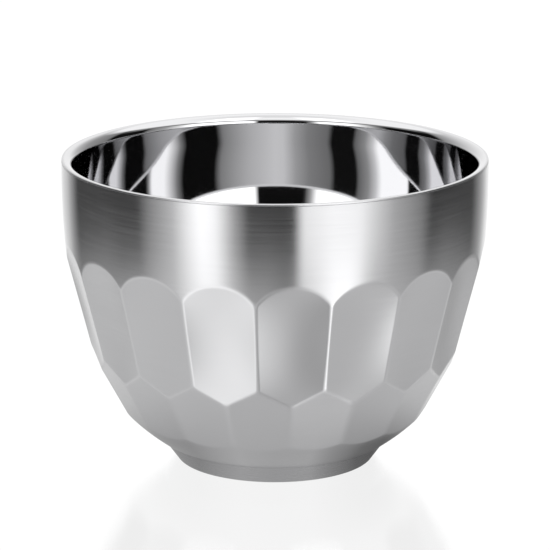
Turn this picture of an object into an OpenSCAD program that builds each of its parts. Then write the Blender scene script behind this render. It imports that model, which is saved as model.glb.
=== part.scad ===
// Double-wall shaving bowl: mirror-polished inner bowl, faceted satin outer shell, tapered foot.
// Millimetres. +Z is the bowl's axis and z = 0 is the surface that the foot stands on.

/* [Overall size] */
// Outer diameter at the rim
rim_d = 110; // [100:0.5:120]
// Height from the standing surface to the top of the lip
bowl_h = 80; // [76:0.5:88]
// Thickness of the steel sheet
sheet_t = 0.6; // [0.4:0.1:0.8]

/* [Outer shell] */
// Radius of the long arc that the side follows
side_arc_r = 220; // [180:5:300]
// Drop from the top of the lip to the height where the side is vertical
side_arc_drop = 5; // [3:0.5:8]
// Radius of the belly arc that leads down to the foot
belly_arc_r = 58.2; // [57:0.1:60]
// Height of the belly arc's centre
belly_arc_z = 53.6; // [53:0.1:55]
// Distance of the belly arc's centre past the axis
belly_arc_offset = 2.7; // [2:0.1:3.5]
// Height of the shell's flat underside
underside_z = 3.2; // [2.5:0.1:4]

/* [Facets] */
// Number of facets in each row
facet_count = 18; // [14:2:24]
// Lean of the upper facets from vertical, degrees
upper_tilt = 13.9; // [12.5:0.1:15]
// Height of the top of the arches on the upper facets
upper_arch_z = 59; // [55:0.5:62]
// Lean of the lower facets from vertical, degrees
lower_tilt = 27.9; // [26:0.1:30]
// Height of the bottom edge of the lower facets
lower_edge_z = 12.5; // [11:0.5:14]

/* [Inner bowl] */
// Width of the lip, from the shell's outer face to the inner wall
lip_w = 3.1; // [2.8:0.1:3.6]
// Depth of the straight wall below the lip's flare
inner_straight = 5; // [4:0.5:7]
// Radius of the inner wall's side arc
inner_side_r = 60; // [58:1:64]
// Radius of the arc across the inner floor
inner_floor_r = 40; // [34:1:44]

/* [Rim seam] */
// Width of the ground weld that closes the rim
seam_w = 0.6; // [0.5:0.05:0.8]
// Height of the ground weld
seam_h = 0.6; // [0.5:0.05:0.8]
// Chamfer on the rim's outer edge
edge_chamfer = 0.15; // [0.05:0.05:0.3]

/* [Foot and base] */
// Radius of the foot where it meets the standing surface
foot_r = 25.7; // [24.5:0.1:26.5]
// Radius of the foot where it meets the belly
foot_top_r = 29.3; // [29:0.1:29.6]
// Width of the foot's standing face and its edge chamfer
foot_w = 1.6; // [1.2:0.1:2]
// Chamfer on the foot's outer edge
foot_chamfer = 0.35; // [0.2:0.05:0.5]
// Radius of the bead that joins the foot to the shell
foot_bead_r = 0.9; // [0.6:0.1:1.2]
// Radius of the opening in the shell's underside
base_r = 20; // [17:0.5:21]
// Width of the base plate's flat border
base_border = 4; // [3:0.5:6]
// Height that the base plate's centre is pressed up
base_dish = 0.8; // [0.4:0.1:1.2]
// Radius of the bead round the base plate
base_bead_r = 0.35; // [0.25:0.05:0.5]
// Radius of the vent hole
vent_r = 1; // [0.8:0.1:1.5]
// Radius of the vent plug's head
plug_head_r = 2; // [1.8:0.1:3]
// Height of the vent plug's head
plug_head_h = 0.4; // [0.3:0.1:0.6]

/* [Hidden] */
$fn = 180;

rim_r = rim_d / 2;
shell_top_z = bowl_h - seam_h;

// Outer wall: the side arc is vertical at side_arc_z, and the belly arc meets it behind the facets.
side_arc_z = bowl_h - side_arc_drop;
function side_r(z) = rim_r - side_arc_r + sqrt(pow(side_arc_r, 2) - pow(z - side_arc_z, 2));
function belly_r(z) = -belly_arc_offset + sqrt(pow(belly_arc_r, 2) - pow(z - belly_arc_z, 2));
facet_step = 360 / facet_count;
foot_top_z = belly_arc_z - sqrt(pow(belly_arc_r, 2) - pow(foot_top_r + belly_arc_offset, 2));

// Inner wall from the top: the flared lip, a straight part, the side arc, and a floor arc that is
// tangent to the side arc.
edge_r = side_r(shell_top_z);
mouth_r = rim_r - lip_w;
flare_r = edge_r - seam_w - mouth_r;
flare_z = bowl_h - flare_r;
inner_side_x = mouth_r - inner_side_r;
inner_side_z = flare_z - inner_straight;
blend_angle = acos(-inner_side_x / (inner_side_r - inner_floor_r));
inner_floor_z = inner_side_z - (inner_side_r - inner_floor_r) * sin(blend_angle);

base_dish_r = base_r - base_border;
far = 2 * rim_r;

// Size of the blocks that cut the facets: each ends inside what its neighbours remove.
cut_w = 2.6 * rim_r * tan(facet_step / 2);
cut_depth = 12;
cut_long = 38;
cut_low = 24;
cut_short = 8;

// Half-plane strip to the right of the axis, between two heights.
module strip(z0, z1) {
    translate([0, z0]) square([far, z1 - z0]);
}

// Outline of the solid inside the shell's outer face, or inside its inner face when set in by inset.
// Set in, it also runs out past the top, so that it leaves the shell open there.
module shell_outline(inset) {
    top_z = shell_top_z + inset;
    intersection() {
        translate([rim_r - side_arc_r, side_arc_z]) circle(side_arc_r - inset);
        union() {
            translate([-belly_arc_offset, belly_arc_z]) circle(belly_arc_r - inset);
            strip(belly_arc_z, top_z);
        }
        strip(underside_z + inset, top_z);
    }
}

// Block outside one facet. Its inner face is the facet's plane, which passes through radius r at
// height z and leans by tilt. It reaches from below to above that height, along the plane.
module facet_cut(r, z, tilt, below, above, inset) {
    translate([r, 0, z]) rotate([0, tilt, 0]) translate([-inset, -cut_w / 2, -below])
        cube([cut_depth, cut_w, below + above]);
}

// Solid inside the shell's faces; the lower row is turned by half a facet against the upper row.
module shell_body(inset) {
    difference() {
        rotate_extrude() shell_outline(inset);
        for (i = [0 : facet_count - 1]) {
            rotate([0, 0, i * facet_step])
                facet_cut(side_r(upper_arch_z), upper_arch_z, upper_tilt, cut_long, cut_short, inset);
            rotate([0, 0, (i + 0.5) * facet_step])
                facet_cut(belly_r(lower_edge_z), lower_edge_z, lower_tilt, cut_short, cut_low, inset);
        }
    }
}

// Band of sheet that follows an arc of radius r on its inner face, between two angles from level.
module arc_band(r, a0, a1) {
    intersection() {
        difference() {
            circle(r + sheet_t);
            circle(r);
        }
        polygon([[0, 0], [far * cos(a0), far * sin(a0)], [far * cos(a1), far * sin(a1)]]);
    }
}

module outer_shell() color([0.74, 0.74, 0.75]) {
    difference() {
        shell_body(0);
        shell_body(sheet_t);
        // Opening that the base plate closes.
        cylinder(h = 2 * underside_z, r = base_r);
    }
}

module inner_bowl() color([0.86, 0.86, 0.87]) {
    rotate_extrude() {
        translate([mouth_r + flare_r, flare_z]) arc_band(flare_r - sheet_t, 90, 180);
        translate([mouth_r, inner_side_z]) square([sheet_t, inner_straight]);
        translate([inner_side_x, inner_side_z]) arc_band(inner_side_r, -blend_angle, 0);
        translate([0, inner_floor_z]) arc_band(inner_floor_r, -90, -blend_angle);
    }
}

module rim_weld() color([0.8, 0.8, 0.81]) {
    rotate_extrude() polygon([
        [edge_r - seam_w, shell_top_z], [edge_r, shell_top_z], [edge_r, bowl_h - edge_chamfer],
        [edge_r - edge_chamfer, bowl_h], [edge_r - seam_w, bowl_h]
    ]);
}

module foot_ring() color([0.7, 0.7, 0.71]) {
    // The outline runs on past the belly, which then cuts it to fit.
    slope = (foot_top_r - foot_r) / foot_top_z;
    cut_z = foot_top_z + sheet_t;
    rotate_extrude() difference() {
        polygon([
            [foot_r - foot_w, 0], [foot_r - foot_chamfer, 0],
            [foot_r + slope * foot_chamfer, foot_chamfer],
            [foot_r + slope * cut_z, cut_z], [foot_r - foot_w, cut_z]
        ]);
        shell_outline(0);
    }
}

module foot_weld() color([0.5, 0.5, 0.51]) {
    rotate_extrude() intersection() {
        translate([foot_r - foot_w, underside_z]) circle(foot_bead_r);
        square([foot_r - foot_w, underside_z]);
    }
}

module base_plate() color([0.66, 0.66, 0.67]) {
    slope_w = 2 * base_dish;
    rotate_extrude() polygon([
        [base_r, underside_z], [base_r, underside_z + sheet_t],
        [base_dish_r, underside_z + sheet_t], [base_dish_r - slope_w, underside_z + sheet_t + base_dish],
        [vent_r, underside_z + sheet_t + base_dish], [vent_r, underside_z + base_dish],
        [base_dish_r - slope_w, underside_z + base_dish], [base_dish_r, underside_z]
    ]);
}

module base_weld() color([0.5, 0.5, 0.51]) {
    rotate_extrude() intersection() {
        translate([base_r, underside_z]) circle(base_bead_r);
        strip(0, underside_z);
    }
}

module vent_plug() color([0.45, 0.45, 0.46]) {
    plate_z = underside_z + base_dish;
    translate([0, 0, plate_z]) cylinder(h = sheet_t, r = vent_r);
    translate([0, 0, plate_z - plug_head_h]) cylinder(h = plug_head_h, r = plug_head_r);
}

outer_shell();
inner_bowl();
rim_weld();
foot_ring();
foot_weld();
base_plate();
base_weld();
vent_plug();
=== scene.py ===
"""Looks of the double-wall shaving bowl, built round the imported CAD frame.

Lengths are in millimetres until a mesh is made; MM turns them into the frame's metres.
"""
import math

import bmesh
import bpy
import numpy as np
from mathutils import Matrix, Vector


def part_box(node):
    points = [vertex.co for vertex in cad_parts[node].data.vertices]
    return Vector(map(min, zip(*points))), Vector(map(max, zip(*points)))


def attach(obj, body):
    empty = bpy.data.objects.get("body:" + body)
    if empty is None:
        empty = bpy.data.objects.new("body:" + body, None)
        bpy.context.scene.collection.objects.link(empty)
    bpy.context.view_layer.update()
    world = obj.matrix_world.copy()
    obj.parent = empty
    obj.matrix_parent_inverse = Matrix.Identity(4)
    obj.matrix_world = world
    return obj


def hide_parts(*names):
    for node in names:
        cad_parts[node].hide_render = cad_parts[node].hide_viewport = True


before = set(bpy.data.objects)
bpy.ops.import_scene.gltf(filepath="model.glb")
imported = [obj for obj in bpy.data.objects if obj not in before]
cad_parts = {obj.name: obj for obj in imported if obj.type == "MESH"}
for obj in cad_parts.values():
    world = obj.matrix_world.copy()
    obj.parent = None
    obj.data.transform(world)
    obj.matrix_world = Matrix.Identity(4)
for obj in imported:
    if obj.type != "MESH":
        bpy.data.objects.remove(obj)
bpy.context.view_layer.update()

MM = 0.001

# ---------------------------------------------------------------- sizes, from the frame's boxes


def node_box(name):
    """Lowest and highest corner of a CAD node in millimetres."""
    lo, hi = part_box(name)
    return Vector(lo) / MM, Vector(hi) / MM


BOWL_H = node_box("inner_bowl")[1].z
RIM_R = node_box("outer_shell")[1].x
SEAM_INNER_R = node_box("inner_bowl")[1].x
SEAM_R, SEAM_BOTTOM = node_box("rim_weld")[1].x, node_box("rim_weld")[0].z
FOOT_TOP_R, FOOT_TOP_Z = node_box("foot_ring")[1].x, node_box("foot_ring")[1].z
UNDERSIDE_Z = node_box("foot_weld")[1].z
BASE_R = node_box("base_plate")[1].x

# The frame's boxes don't show these.
FOOT_R = 25.7
LIP_WIDTH = 3.1
SHEET = 0.6
FACETS = 18
STEP = 2 * math.pi / FACETS

# The outer wall follows two arcs, cut by two rows of facets.
SIDE_ARC_R, SIDE_ARC_Z = 220.0, BOWL_H - 5.0
BELLY_ARC_R, BELLY_ARC_Z, BELLY_ARC_OFFSET = 58.2, 53.6, 2.7
UPPER_TILT, UPPER_ARCH_Z = math.radians(13.9), 59.0
LOWER_TILT, LOWER_EDGE_Z = math.radians(27.9), 12.5

# The inner wall: a flared lip, a straight part, a side arc, and a floor arc tangent to it.
MOUTH_R = RIM_R - LIP_WIDTH
FLARE_R = SEAM_INNER_R - MOUTH_R
FLARE_Z = BOWL_H - FLARE_R
INNER_SIDE_R, INNER_FLOOR_R, INNER_STRAIGHT = 60.0, 40.0, 5.0

# ---------------------------------------------------------------- mesh helpers


def new_piece(name, node, mesh, material):
    """Links a mesh object that stands for one CAD node."""
    piece = bpy.data.objects.new(name, mesh)
    bpy.context.scene.collection.objects.link(piece)
    mesh.materials.append(material)
    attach(piece, "root")
    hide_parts(node)
    return piece


def arc(centre, radius, start, end, steps):
    """Points on an arc in the (radius, height) plane, angles in degrees from level outwards."""
    angles = np.radians(np.linspace(start, end, steps + 1))
    return [(centre[0] + radius * math.cos(a), centre[1] + radius * math.sin(a)) for a in angles]


def rounded(corners, steps=6):
    """A closed outline from corners (r, z, fillet): each corner is rounded by its fillet radius."""
    outline = []
    for i, (r, z, fillet) in enumerate(corners):
        here = Vector((r, z))
        if fillet == 0:
            outline.append((r, z))
            continue
        before = (Vector(corners[i - 1][:2]) - here).normalized()
        after = (Vector(corners[(i + 1) % len(corners)][:2]) - here).normalized()
        half = before.angle(after) / 2
        reach = fillet / math.tan(half)
        p0, p1 = here + before * reach, here + after * reach
        for s in np.linspace(0, 1, steps + 1):
            # A quadratic curve that leaves and meets the two sides smoothly.
            p = p0 * (1 - s) ** 2 + here * 2 * s * (1 - s) + p1 * s**2
            outline.append((p.x, p.y))
    return outline


RIM_COLUMNS = 360


def lathe_mesh(name, outline, columns=288, sharp=25):
    """Turns a closed outline of (radius, height) points round the axis; radius 0 makes a pole."""
    verts, rings = [], []
    for r, z in outline:
        if r < 1e-6:
            rings.append([len(verts)] * columns)
            verts.append((0, 0, z * MM))
            continue
        rings.append(list(range(len(verts), len(verts) + columns)))
        for c in range(columns):
            a = 2 * math.pi * c / columns
            verts.append((r * MM * math.cos(a), r * MM * math.sin(a), z * MM))
    faces = []
    for ring, above in zip(rings, rings[1:] + rings[:1]):
        for c in range(columns):
            d = (c + 1) % columns
            face = list(dict.fromkeys((ring[c], ring[d], above[d], above[c])))
            if len(face) > 2:
                faces.append(face)
    mesh = bpy.data.meshes.new(name)
    mesh.from_pydata(verts, [], faces)
    fix_normals(mesh)
    mesh.shade_smooth()
    mesh.set_sharp_from_angle(angle=math.radians(sharp))
    return mesh


def fix_normals(mesh):
    """Turns every face outwards."""
    bm = bmesh.new()
    bm.from_mesh(mesh)
    bmesh.ops.recalc_face_normals(bm, faces=bm.faces)
    bm.to_mesh(mesh)
    bm.free()


# ---------------------------------------------------------------- outer shell


def side_r(z):
    """Radius of the long arc down the side, at height z."""
    return RIM_R - SIDE_ARC_R + np.sqrt(SIDE_ARC_R**2 - (z - SIDE_ARC_Z) ** 2)


def belly_r(z):
    """Radius of the belly arc, upright above its centre, at height z."""
    drop = np.minimum(z - BELLY_ARC_Z, 0)
    return -BELLY_ARC_OFFSET + np.sqrt(BELLY_ARC_R**2 - drop**2)


def upper_plane(z):
    """Distance of the upper facets from the axis at height z."""
    return side_r(UPPER_ARCH_Z) + (z - UPPER_ARCH_Z) * math.tan(UPPER_TILT)


def lower_plane(z):
    """Distance of the lower facets from the axis at height z."""
    return belly_r(LOWER_EDGE_Z) + (z - LOWER_EDGE_Z) * math.tan(LOWER_TILT)


def smooth_min(a, b, width):
    """The smaller of a and b, rounded where they are within width of each other."""
    h = np.maximum(width - np.abs(a - b), 0) / width
    return np.minimum(a, b) - h * h * width / 4


def from_centre(theta, shift):
    """Angle to the nearest facet centre; shift is 0 for the upper row and 0.5 for the lower."""
    turns = theta / STEP - shift
    return (turns - np.round(turns)) * STEP


# Widths over which edges are rounded: facets into the round wall, and one row into the other.
ARCH_SOFT = 0.15
ROWS_SOFT = 0.26
# How far the rubbed edge of a facet, with its painted highlight, reaches, and how strong it is on
# the lower row.
EDGE_BAND = 0.12
LOWER_EDGE = 0.12
# Beyond this rise squared the dish gets no deeper.
DISH_END = 1.6


class Row:
    """One row of facets: its leaning plane, dished a little in the facet's middle."""

    def __init__(self, shift, plane, middle_z, half_height, half_width, dish, soft):
        self.shift, self.plane, self.dish, self.soft = shift, plane, dish, soft
        self.middle_z, self.half_height, self.half_width = middle_z, half_height, half_width

    def distance(self, u, z):
        """Distance of the face from the axis along the facet's direction, at angle u from it."""
        plane = self.plane(z)
        side = plane * np.tan(u) / self.half_width
        rise = (z - self.middle_z) / self.half_height
        return plane - self.dish * (1 - side**2) * (1 - np.minimum(rise**2, DISH_END))

    def radius(self, u, z):
        return self.distance(u, z) / np.cos(u)

    def both(self, theta, z):
        """Radius on the nearest facet, rounded where it meets the next one."""
        u = np.abs(from_centre(theta, self.shift))
        return smooth_min(self.radius(u, z), self.radius(STEP - u, z), self.soft)


UPPER = Row(
    0.0, upper_plane, middle_z=43.0, half_height=15.5, half_width=9.2, dish=0.45, soft=0.28
)
LOWER = Row(
    0.5, lower_plane, middle_z=21.5, half_height=10.0, half_width=8.0, dish=0.18, soft=0.45
)


def shell_r(theta, z):
    round_wall = np.minimum(side_r(z), belly_r(z))
    facets = smooth_min(UPPER.both(theta, z), LOWER.both(theta, z), ROWS_SOFT)
    return smooth_min(round_wall, facets, ARCH_SOFT)


def solve(f, low, high, theta):
    """Height between low and high where f(theta, z) crosses zero, by halving."""
    low, high = np.full_like(theta, low), np.full_like(theta, high)
    for _ in range(40):
        middle = (low + high) / 2
        same = np.sign(f(theta, middle)) == np.sign(f(theta, low))
        low, high = np.where(same, middle, low), np.where(same, high, middle)
    return (low + high) / 2


def spread(count, crowd=0.75):
    """Steps from 0 to 1, closer together near both ends."""
    s = np.linspace(0, 1, count + 1)
    return (1 - crowd) * s + crowd * (1 - np.cos(math.pi * s)) / 2


COLUMNS_PER_HALF_FACET = 18
INNER_ROW_EVERY = 8


def shell_columns():
    """Angles of the shell's columns, closer together at the ridges of both rows."""
    steps = spread(COLUMNS_PER_HALF_FACET, 0.85)[:-1]
    return np.concatenate([(k + steps) * STEP / 2 for k in range(2 * FACETS)])


def shell_rows(theta, u1, u2):
    """Heights of the shell's rows, closer together at the edges of the facets."""
    arch = solve(lambda t, z: side_r(z) - UPPER.radius(u1, z), 45.0, 62.0, theta)
    low = solve(lambda t, z: belly_r(z) - LOWER.radius(u2, z), 8.0, 22.0, theta)
    zig = solve(lambda t, z: UPPER.radius(u1, z) - LOWER.radius(u2, z), 20.0, 40.0, theta)
    stops = [
        (np.full_like(theta, UNDERSIDE_Z + 0.05), low, 14),
        (low, zig, 30),
        (zig, arch, 46),
        (arch, np.full_like(theta, SEAM_BOTTOM), 30),
    ]
    rows = [start + (end - start) * t for start, end, n in stops for t in spread(n)[:-1]]
    rows.append(stops[-1][1])
    return np.array(rows)


def shell_point(theta, z):
    radius = shell_r(theta, z)
    return np.stack([radius * np.cos(theta), radius * np.sin(theta), z], -1)


def shell_normal(theta, z):
    rise = 0.01
    turn = rise / 50
    round_wall = shell_point(theta + turn, z) - shell_point(theta - turn, z)
    up_wall = shell_point(theta, z + rise) - shell_point(theta, z - rise)
    normal = np.cross(round_wall, up_wall)
    return normal / np.linalg.norm(normal, axis=-1, keepdims=True)


def facet_and_edge(u1, u2, z):
    """How much each point lies on a facet, and how near it is to a facet's edge."""
    wall = np.minimum(side_r(z), belly_r(z))
    up_r, lo_r = UPPER.radius(u1, z), LOWER.radius(u2, z)
    nearest = np.minimum(up_r, lo_r)
    facet = 1 / (1 + np.exp(-(wall - nearest) / 0.03))
    ridge_gap = np.where(
        up_r < lo_r,
        UPPER.radius(STEP - np.abs(u1), z) - up_r,
        LOWER.radius(STEP - np.abs(u2), z) - lo_r,
    )
    # The surfaces part faster at the arches than at the ridges, so the gaps are weighted.
    arch_gap = np.abs(wall - nearest) * 1.6
    gap = np.minimum(np.minimum(arch_gap, np.abs(up_r - lo_r)), ridge_gap * 0.6)
    gap = np.where(wall < nearest, arch_gap, gap)
    edge = np.exp(-((gap / EDGE_BAND) ** 2)) * np.where(lo_r < up_r, LOWER_EDGE, 1.0)
    return facet, edge


def ring_quads(count, columns):
    """Faces between count closed rings of points; the last ring joins the first."""
    index = np.arange(columns * count).reshape(count, columns)
    nxt = np.roll(index, -1, axis=1)
    quads = []
    for k in range(count):
        j = (k + 1) % count
        quads.append(np.stack([index[k], nxt[k], nxt[j], index[j]], -1))
    return np.concatenate(quads)


def shell_mesh():
    theta = shell_columns()
    u1, u2 = from_centre(theta, 0.0), from_centre(theta, 0.5)
    z = shell_rows(theta, u1, u2)
    th = np.broadcast_to(theta, z.shape)
    normal = shell_normal(th, z)
    outer = shell_point(th, z)
    # The inner face is the outer one set in by the sheet's thickness, with fewer rows.
    picks = list(range(0, len(z), INNER_ROW_EVERY)) + [len(z) - 1]
    inner = outer[picks] - normal[picks] * SHEET
    inner[-1, :, 2] = SEAM_BOTTOM
    inner[0, :, 2] = UNDERSIDE_Z + SHEET

    def ring(radius, height):
        level = np.full_like(theta, height)
        return np.stack([radius * np.cos(theta), radius * np.sin(theta), level], -1)

    # The hole in the underside has a small chamfer for the base weld.
    hole = [
        ring(BASE_R, UNDERSIDE_Z + SHEET),
        ring(BASE_R, UNDERSIDE_Z + 0.15),
        ring(BASE_R + 0.3, UNDERSIDE_Z),
    ]
    rings = [*inner[::-1], *hole, ring(belly_r(UNDERSIDE_Z), UNDERSIDE_Z), *outer]
    up = np.broadcast_to([0.0, 0.0, 1.0], outer[0].shape)
    inwards = ring(-1, 0) * [1, 1, 0]
    normals = [*-normal[picks][::-1], up, inwards, -up, -up, *normal]
    columns, count = len(theta), len(rings)
    points = np.array(rings).reshape(-1, 3) * MM
    mesh = bpy.data.meshes.new("outer_shell_satin")
    mesh.from_pydata(points.tolist(), [], ring_quads(count, columns).tolist())
    mesh.shade_smooth()
    mesh.normals_split_custom_set_from_vertices(np.array(normals).reshape(-1, 3).tolist())

    facet, edge = facet_and_edge(u1, u2, z)
    inside = np.zeros((count - len(z)) * columns)
    for name, values in (("facet", facet), ("edge", edge)):
        layer = mesh.attributes.new(name, "FLOAT", "POINT")
        values = np.concatenate([inside, values.ravel()])
        layer.data.foreach_set("value", values.astype(np.float32))
    return mesh


# ---------------------------------------------------------------- inner bowl, foot and base


def inner_outline():
    """Section of the inner bowl: up the inside to the lip, then down the outside."""
    side_z = FLARE_Z - INNER_STRAIGHT
    side_x = MOUTH_R - INNER_SIDE_R
    blend = math.degrees(math.acos(-side_x / (INNER_SIDE_R - INNER_FLOOR_R)))
    floor_z = side_z - (INNER_SIDE_R - INNER_FLOOR_R) * math.sin(math.radians(blend))
    flare = (SEAM_INNER_R, FLARE_Z)
    inside = (
        arc((0, floor_z), INNER_FLOOR_R, -90, -blend, 24)
        + arc((side_x, side_z), INNER_SIDE_R, -blend, 0, 70)[1:]
        + [(MOUTH_R, side_z + INNER_STRAIGHT * s) for s in (0.2, 0.4, 0.6, 0.8)]
        + arc(flare, FLARE_R, 180, 90, 24)
    )
    outside = (
        arc(flare, FLARE_R - SHEET, 90, 180, 10)
        + arc((side_x, side_z), INNER_SIDE_R + SHEET, 0, -blend, 24)
        + arc((0, floor_z), INNER_FLOOR_R + SHEET, -blend, -90, 10)[1:]
    )
    inside[0], outside[-1] = (0, inside[0][1]), (0, outside[-1][1])
    return inside + outside


def weld_outline():
    """Ground weld that closes the rim: rounded outside, a fine groove under its outer edge."""
    groove, step, step_fillet, rim_fillet = 0.12, 0.04, 0.03, 0.33
    corners = [
        (SEAM_INNER_R, SEAM_BOTTOM, 0),
        (SEAM_R - groove, SEAM_BOTTOM, 0),
        (SEAM_R - step, SEAM_BOTTOM + groove, step_fillet),
        (SEAM_R, BOWL_H, rim_fillet),
        (SEAM_INNER_R, BOWL_H, 0),
    ]
    return rounded(corners, 8)


def foot_outline():
    """Tapered ring whose top follows the belly."""
    width, inner_fillet, outer_fillet = 1.6, 0.25, 0.35
    inner_r = FOOT_R - width
    corners = [
        (inner_r, 0, inner_fillet),
        (FOOT_R, 0, outer_fillet),
        (FOOT_TOP_R, FOOT_TOP_Z, 0),
    ]
    belly = [(belly_r(z), z) for z in np.linspace(FOOT_TOP_Z, UNDERSIDE_Z, 6)[1:]]
    return rounded(corners) + [(float(r), z) for r, z in belly] + [(inner_r, UNDERSIDE_Z)]


# ---------------------------------------------------------------- materials


class Nodes:
    """Short ways to add and link shader nodes."""

    def __init__(self, owner):
        owner.use_nodes = True
        self.tree = owner.node_tree
        self.tree.nodes.clear()

    def add(self, kind, inputs=None, **settings):
        node = self.tree.nodes.new(kind)
        for key, value in settings.items():
            setattr(node, key, value)
        for key, value in (inputs or {}).items():
            if isinstance(value, bpy.types.NodeSocket):
                self.tree.links.new(value, node.inputs[key])
            else:
                node.inputs[key].default_value = value
        return node

    def math(self, operation, a, b=0.0):
        return self.add("ShaderNodeMath", {0: a, 1: b}, operation=operation).outputs[0]

    def vector(self, operation, *parts):
        inputs = dict(enumerate(parts))
        return self.add("ShaderNodeVectorMath", inputs, operation=operation).outputs[0]

    def mix(self, factor, a, b):
        """Linear blend of two numbers."""
        return self.add("ShaderNodeMix", {0: factor, 2: a, 3: b}, data_type="FLOAT").outputs[0]

    def ramp(self, factor, stops):
        """Grey ramp from (position, value) stops."""
        node = self.add("ShaderNodeValToRGB", {0: factor})
        elements = node.color_ramp.elements
        while len(elements) < len(stops):
            elements.new(0.5)
        for element, (position, value) in zip(elements, stops):
            element.position = position
            element.color = (value, value, value, 1)
        return node.outputs[0]


def turned_coordinates(n, along, across, radial):
    """Coordinates that run slowly round the axis and fast along it, with no seam behind."""
    position = n.add("ShaderNodeTexCoord").outputs["Object"]
    x, y, z = n.add("ShaderNodeSeparateXYZ", {0: position}).outputs
    radius = n.math("SQRT", n.math("ADD", n.math("MULTIPLY", x, x), n.math("MULTIPLY", y, y)))
    radius = n.math("MAXIMUM", radius, 0.0005)
    round_x = n.math("MULTIPLY", n.math("DIVIDE", x, radius), along)
    round_y = n.math("MULTIPLY", n.math("DIVIDE", y, radius), along)
    # Radius as well as height, where level faces carry lines too.
    run = n.math("ADD", n.math("MULTIPLY", z, across), n.math("MULTIPLY", radius, across * radial))
    return n.add("ShaderNodeCombineXYZ", {0: round_x, 1: round_y, 2: run}).outputs[0]


def streaks(n, along, across, radial, detail):
    """Noise drawn out round the axis, either side of 0."""
    where = turned_coordinates(n, along, across, radial)
    noise = n.add("ShaderNodeTexNoise", {"Vector": where, "Scale": 1.0, "Detail": detail})
    return n.math("SUBTRACT", noise.outputs[0], 0.5)


def clouds(n):
    """Soft patches about 20 mm across, either side of 0."""
    position = n.add("ShaderNodeTexCoord").outputs["Object"]
    noise = n.add("ShaderNodeTexNoise", {"Vector": position, "Scale": 45.0, "Detail": 2.0})
    return n.math("SUBTRACT", noise.outputs[0], 0.5)


# How much of the grain shows in the colour, and what facets take away from it.
GRAIN_SHOWN, FACET_LESS_GRAIN, FACET_LESS_BUMP, FACET_ROUGHER = 0.9, 0.7, 0.8, 0.05
# The edges of facets are rubbed smoother, and their colour is brighter: partly rubbed wear, partly
# a painted highlight.
EDGE_SMOOTHER, EDGE_PAINTED_HIGHLIGHT = 0.07, 0.045
BUMP_DEPTH = 0.00002
# A quarter turn, so that highlights spread along the axis, across the grain.
ACROSS_GRAIN = 0.25


def steel_material(name, tint, rough, grain, bump, anisotropy, facets=False):
    """Turned stainless steel: streaks round the axis in colour, roughness and bump."""
    material = bpy.data.materials.new(name)
    n = Nodes(material)
    radial = 0.0 if facets else 0.7
    fine = streaks(n, 4.0, 9000.0, radial, 3.0)
    broad = streaks(n, 2.2, 1400.0, radial, 2.0)
    cloud = clouds(n)
    lines = n.math("ADD", n.math("MULTIPLY", fine, 0.6), n.math("MULTIPLY", broad, 0.45))
    roughness = n.math("ADD", n.math("MULTIPLY", lines, grain), rough)
    roughness = n.math("ADD", roughness, n.math("MULTIPLY", cloud, grain * 0.3))
    shown, depth = GRAIN_SHOWN, bump
    if facets:
        facet = n.add("ShaderNodeAttribute", attribute_name="facet").outputs["Fac"]
        shown = n.math("SUBTRACT", shown, n.math("MULTIPLY", facet, FACET_LESS_GRAIN))
        depth = n.math("SUBTRACT", bump, n.math("MULTIPLY", facet, bump * FACET_LESS_BUMP))
    value = n.math("ADD", n.math("MULTIPLY", n.math("MULTIPLY", lines, grain), shown), 1.0)
    value = n.math("ADD", value, n.math("MULTIPLY", cloud, grain * 0.6))
    if facets:
        # Along the edges the steel is smoother from rubbing, and a painted highlight brightens its
        # colour.
        edge = n.add("ShaderNodeAttribute", attribute_name="edge").outputs["Fac"]
        worn_and_painted_highlight = n.math("MULTIPLY", edge, n.math("ADD", n.math("MULTIPLY", broad, 0.8), 0.8))
        roughness = n.math("ADD", roughness, n.math("MULTIPLY", facet, FACET_ROUGHER))
        roughness = n.math("SUBTRACT", roughness, n.math("MULTIPLY", worn_and_painted_highlight, EDGE_SMOOTHER))
        value = n.math("ADD", value, n.math("MULTIPLY", worn_and_painted_highlight, EDGE_PAINTED_HIGHLIGHT))
    # The tint scaled by value, which may pass 1.
    colour = n.add(
        "ShaderNodeMix",
        {0: value, 6: (0, 0, 0, 1), 7: (*tint, 1)},
        data_type="RGBA",
        clamp_factor=False,
    )
    bumped = n.add(
        "ShaderNodeBump", {"Height": lines, "Strength": depth, "Distance": BUMP_DEPTH}
    )
    shader = n.add(
        "ShaderNodeBsdfPrincipled",
        {
            "Base Color": colour.outputs[2],
            "Metallic": 1.0,
            "Roughness": roughness,
            "Normal": bumped.outputs[0],
            "Anisotropic": anisotropy,
            "Anisotropic Rotation": ACROSS_GRAIN,
        },
    )
    n.add("ShaderNodeOutputMaterial", {0: shader.outputs[0]})
    return material


# Tint, roughness, grain, bump and anisotropy of each steel.
SATIN = steel_material("satin_steel", (0.66, 0.66, 0.67), 0.162, 0.12, 0.25, 0.89, facets=True)
FOOT = steel_material("foot_steel", (0.60, 0.60, 0.61), 0.26, 0.16, 0.3, 0.85)
BASE = steel_material("base_steel", (0.58, 0.58, 0.59), 0.34, 0.2, 0.4, 0.5)
SATIN_RIM = steel_material("ground_weld", (0.62, 0.62, 0.63), 0.22, 0.10, 0.2, 0.5)
MIRROR = steel_material("polished_steel", (0.69, 0.69, 0.70), 0.035, 0.02, 0.004, 0.0)
WELD = steel_material("weld_steel", (0.30, 0.30, 0.31), 0.38, 0.2, 0.5, 0.0)
PLUG = steel_material("plug_steel", (0.42, 0.42, 0.43), 0.4, 0.2, 0.4, 0.3)

# ---------------------------------------------------------------- pieces

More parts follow.
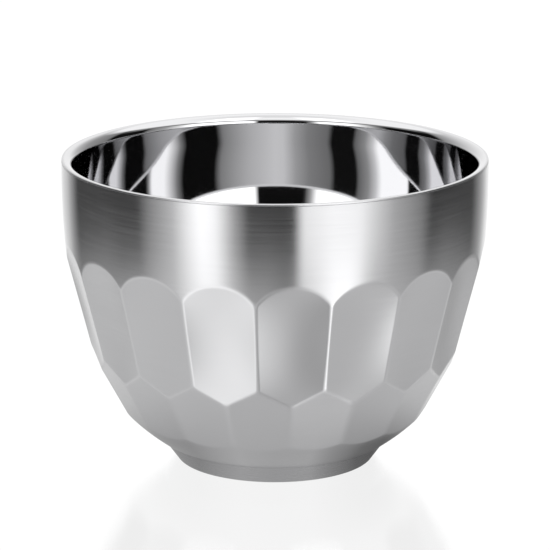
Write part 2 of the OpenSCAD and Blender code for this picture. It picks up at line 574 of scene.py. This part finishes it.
bowl_mesh = lathe_mesh("inner_bowl_mirror", inner_outline(), RIM_COLUMNS)
weld_mesh = lathe_mesh("rim_weld_ground", weld_outline(), RIM_COLUMNS)
foot_mesh = lathe_mesh("foot_ring_turned", foot_outline())
new_piece("outer_shell_satin", "outer_shell", shell_mesh(), SATIN)
new_piece("inner_bowl_mirror", "inner_bowl", bowl_mesh, MIRROR)
new_piece("rim_weld_ground", "rim_weld", weld_mesh, SATIN_RIM)
new_piece("foot_ring_turned", "foot_ring", foot_mesh, FOOT)

HIDDEN_PARTS = {"foot_weld": WELD, "base_weld": WELD, "base_plate": BASE, "vent_plug": PLUG}
for node, material in HIDDEN_PARTS.items():
    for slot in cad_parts[node].material_slots:
        slot.material = material

# ---------------------------------------------------------------- studio

CAMERA_TURN = 5.08
CAMERA_BACK, CAMERA_UP, CAMERA_PITCH = 771.8, 249.4, 14.61
CAMERA_LENS = 200.5


def make_camera():
    data = bpy.data.cameras.new("camera")
    data.lens, data.sensor_width = CAMERA_LENS, 36
    data.clip_start, data.clip_end = 0.01, 50
    camera = bpy.data.objects.new("camera", data)
    bpy.context.scene.collection.objects.link(camera)
    turn = math.radians(CAMERA_TURN)
    place = (math.sin(turn) * CAMERA_BACK, -math.cos(turn) * CAMERA_BACK, CAMERA_UP)
    camera.location = Vector(place) * MM
    camera.rotation_euler = (math.radians(90 - CAMERA_PITCH), 0, turn)
    bpy.context.scene.camera = camera


STUDIO_LEVEL = 3.0

# Brightness of the studio by direction round the bowl: (degrees from the camera's side, level).
# From below the horizon to overhead there is one table for each zone.
DEEP = [
    (-180, 0.24), (-60, 0.24), (-44, 0.22), (-30, 0.22), (-20, 0.21), (-8, 0.19), (8, 0.18),
    (16, 0.22), (40, 0.25), (52, 0.21), (70, 0.23), (180, 0.24),
]
UNDER = [
    (-180, 0.24), (-140, 0.255), (-75, 0.245), (-58, 0.255), (-46, 0.38), (-38, 0.46),
    (-31, 0.42), (-25, 0.3), (-18, 0.24), (-12, 0.21), (-4, 0.2), (6, 0.15), (11, 0.18),
    (15, 0.26), (24, 0.38), (34, 0.54), (42, 0.56), (47, 0.45), (52, 0.27), (57, 0.19),
    (90, 0.215), (140, 0.25), (180, 0.24),
]
GROUND = [
    (-180, 0.36), (-150, 0.24), (-132, 0.02), (-78, 0.01), (-70, 0.1), (-56, 0.22),
    (-46, 0.44), (-40, 0.54), (-32, 0.48), (-22, 0.16), (-14, 0.01), (10, 0.01), (15, 0.4),
    (30, 0.46), (46, 0.44), (56, 0.3), (66, 0.18), (84, 0.09), (92, 0.01), (132, 0.02),
    (148, 0.16), (160, 0.3), (180, 0.36),
]
LOW = [
    (-180, 0.36), (-150, 0.27), (-117, 0.13), (-109, 0.002), (-70, 0.002), (-62, 0.12),
    (-44, 0.62), (-27, 0.62), (-22, 0.15), (-18, 0.002), (10, 0.002), (13, 0.66), (50, 0.66),
    (58, 0.36), (68, 0.16), (80, 0.08), (84, 0.003), (110, 0.003), (116, 0.09), (140, 0.13),
    (156, 0.21), (170, 0.35), (180, 0.36),
]
HIGH = [
    (-180, 0.36), (-150, 0.27), (-117, 0.13), (-109, 0.002), (-70, 0.002), (-62, 0.12),
    (-46, 0.5), (-38, 0.4), (-20, 0.05), (-12, 0.002), (14, 0.002), (24, 0.66), (50, 0.66),
    (58, 0.36), (68, 0.16), (80, 0.08), (84, 0.003), (110, 0.003), (116, 0.09), (140, 0.13),
    (156, 0.21), (170, 0.35), (180, 0.36),
]
TOP = [
    (-180, 0.42), (-60, 0.42), (-50, 0.7), (-26, 0.7), (-18, 0.43), (14, 0.43), (20, 0.74),
    (50, 0.74), (58, 0.42), (180, 0.42),
]
# Where there is a dark gap between the boxes and the ceiling, and how dark it is.
FACING = [
    (-115, 0), (-95, 1), (95, 1), (115, 0),
]
GAP_LEVEL, OVERHEAD_LEVEL = 0.09, 0.34
# Where there is a low strip of light behind the bowl on each side, and its level.
BESIDE = [
    (-165, 0), (-145, 1), (-105, 1), (-90, 0), (90, 0), (105, 1), (145, 1), (165, 0),
]
STRIP_LEVEL = 0.13
# What the steel sees of the table, close to the foot and further out; close to the foot the glow is
# dimmed as a painted shadow of the bowl, most of all beside it.
TABLE_NEAR_PAINTED_SHADE = [
    (-180, 0.5), (-120, 0.42), (-50, 0.36), (-20, 0.54), (0, 0.5), (20, 0.5), (32, 0.36),
    (55, 0.18), (75, 0.14), (130, 0.34), (180, 0.5),
]
TABLE_FAR = 0.63
TABLE_NEAR_R, TABLE_FAR_R = 34.0, 54.0
# Beyond these radii the table fades out for the steel.
TABLE_END_R, TABLE_GONE_R = 50.0, 70.0

# What the eye sees of the floor: its white, its reflection and how far the reflection blurs.
FLOOR_WHITE, FLOOR_SHINE, FLOOR_BLUR = 0.84, 0.19, 0.06
FLOOR_HALF_SIZE = 4.0


def azimuth_ramp(n, share, points):
    """Ramp from (degrees from the camera's side, brightness) pairs."""
    return n.ramp(share, [((degrees + 180) / 360, value) for degrees, value in points])


def from_camera_side(n, vector):
    """Part of a turn round the bowl, 0.5 at the camera's side, and the vector's height."""
    turned = n.add(
        "ShaderNodeVectorRotate",
        {"Vector": vector, "Angle": -math.radians(CAMERA_TURN)},
        rotation_type="Z_AXIS",
    )
    x, y, z = n.add("ShaderNodeSeparateXYZ", {0: turned.outputs[0]}).outputs
    azimuth = n.math("ARCTAN2", x, n.math("MULTIPLY", y, -1.0))
    return n.math("ADD", n.math("DIVIDE", azimuth, 2 * math.pi), 0.5), z


def make_world():
    """A white studio with soft boxes and black flags, as directions round the bowl."""
    world = bpy.data.worlds.new("studio")
    bpy.context.scene.world = world
    n = Nodes(world)
    direction = n.add("ShaderNodeTexCoord").outputs["Generated"]
    share, z = from_camera_side(n, direction)
    elevation = n.math("ARCSINE", z)

    def zone(points):
        return azimuth_ramp(n, share, points)

    def rise(start, end):
        """0 below the start elevation and 1 above the end, in degrees."""
        limits = {1: math.radians(start), 2: math.radians(end)}
        return n.add("ShaderNodeMapRange", {0: elevation, **limits}).outputs[0]

    studio = n.mix(rise(0, 5), zone(GROUND), zone(LOW))
    studio = n.mix(rise(22, 29), studio, zone(HIGH))
    studio = n.mix(n.math("MULTIPLY", rise(27, 31), zone(FACING)), studio, GAP_LEVEL)
    studio = n.mix(rise(36, 43), studio, zone(TOP))
    studio = n.mix(rise(62, 80), studio, OVERHEAD_LEVEL)
    studio = n.mix(rise(-25, -17.5), zone(UNDER), studio)
    studio = n.mix(rise(-60, -38), zone(DEEP), studio)
    strip = n.math("MULTIPLY", rise(-25, -22), n.math("SUBTRACT", 1.0, rise(-19, -16)))
    studio = n.mix(n.math("MULTIPLY", strip, zone(BESIDE)), studio, STRIP_LEVEL)
    # The eye, and the floor's own reflection, see plain white.
    path = n.add("ShaderNodeLightPath")
    seen = n.math("MAXIMUM", path.outputs["Is Camera Ray"], path.outputs["Is Singular Ray"])
    strength = n.math("MULTIPLY", studio, STUDIO_LEVEL)
    light = n.add("ShaderNodeBackground", {0: (1, 1, 1, 1), 1: strength})
    plain = n.add("ShaderNodeBackground", {0: (1, 1, 1, 1), 1: 1.0})
    both = n.add("ShaderNodeMixShader", {0: seen, 1: light.outputs[0], 2: plain.outputs[0]})
    n.add("ShaderNodeOutputWorld", {0: both.outputs[0]})


def rough_level_normal(n, place, lean):
    """A normal that points up, tilted at random by up to lean from grain to grain."""
    grit = n.vector("MULTIPLY", place, (1e5, 1e5, 1e5))
    noise = n.add("ShaderNodeTexWhiteNoise", {"Vector": grit}, noise_dimensions="3D")
    tilt = n.vector("SUBTRACT", noise.outputs["Color"], (0.5, 0.5, 0.5))
    tilt = n.vector("MULTIPLY_ADD", tilt, (lean, lean, 0), (0, 0, 1))
    return n.vector("NORMALIZE", tilt)


def floor_material():
    material = bpy.data.materials.new("floor")
    n = Nodes(material)
    place = n.add("ShaderNodeTexCoord").outputs["Object"]
    white = (1, 1, 1, 1)
    # Seen by the eye: white, with a faint reflection of the bowl.
    glow = n.add("ShaderNodeEmission", {"Color": white, "Strength": FLOOR_WHITE})
    shine = {"Color": (FLOOR_SHINE, FLOOR_SHINE, FLOOR_SHINE, 1), "Roughness": 0.0}
    shine["Normal"] = rough_level_normal(n, place, FLOOR_BLUR)
    gloss = n.add("ShaderNodeBsdfGlossy", shine)
    shown = n.add("ShaderNodeAddShader", {0: glow.outputs[0], 1: gloss.outputs[0]})
    # Seen by the steel: a white table in soft light that ends a little way from the bowl, and
    # is darker beside the bowl than before and behind it; this darkness near the foot is painted
    # shade, the bowl's painted shadow.
    away = n.add("ShaderNodeVectorMath", {0: place}, operation="LENGTH").outputs["Value"]

    def between(start, end):
        limits = {1: start * MM, 2: end * MM}
        return n.add("ShaderNodeMapRange", {0: away, **limits}).outputs[0]

    share, _ = from_camera_side(n, place)
    # Painted shadow of the bowl: the table's glow is dimmer close to the foot, most of all beside
    # the bowl.
    near_painted_shade = azimuth_ramp(n, share, TABLE_NEAR_PAINTED_SHADE)
    tone = n.mix(between(TABLE_NEAR_R, TABLE_FAR_R), near_painted_shade, TABLE_FAR)
    table = n.add("ShaderNodeEmission", {"Color": white, "Strength": tone})
    seen = n.add("ShaderNodeLightPath").outputs["Is Camera Ray"]
    both = n.add("ShaderNodeMixShader", {0: seen, 1: table.outputs[0], 2: shown.outputs[0]})
    # Not there at all from below, nor for the steel beyond the table's end.
    clear = n.add("ShaderNodeBsdfTransparent")
    back = n.add("ShaderNodeNewGeometry").outputs["Backfacing"]
    unseen = n.math("SUBTRACT", 1.0, seen)
    gone = n.math("MULTIPLY", between(TABLE_END_R, TABLE_GONE_R), unseen)
    hidden = n.math("MAXIMUM", back, gone)
    whole = n.add("ShaderNodeMixShader", {0: hidden, 1: both.outputs[0], 2: clear.outputs[0]})
    n.add("ShaderNodeOutputMaterial", {0: whole.outputs[0]})
    return material


def make_floor():
    size = FLOOR_HALF_SIZE
    corners = [(-size, -size, 0), (size, -size, 0), (size, size, 0), (-size, size, 0)]
    mesh = bpy.data.meshes.new("floor")
    mesh.from_pydata(corners, [], [(0, 1, 2, 3)])
    mesh.materials.append(floor_material())
    floor = bpy.data.objects.new("floor", mesh)
    bpy.context.scene.collection.objects.link(floor)


make_camera()
make_world()
make_floor()
bpy.context.scene.view_settings.view_transform = "Standard"
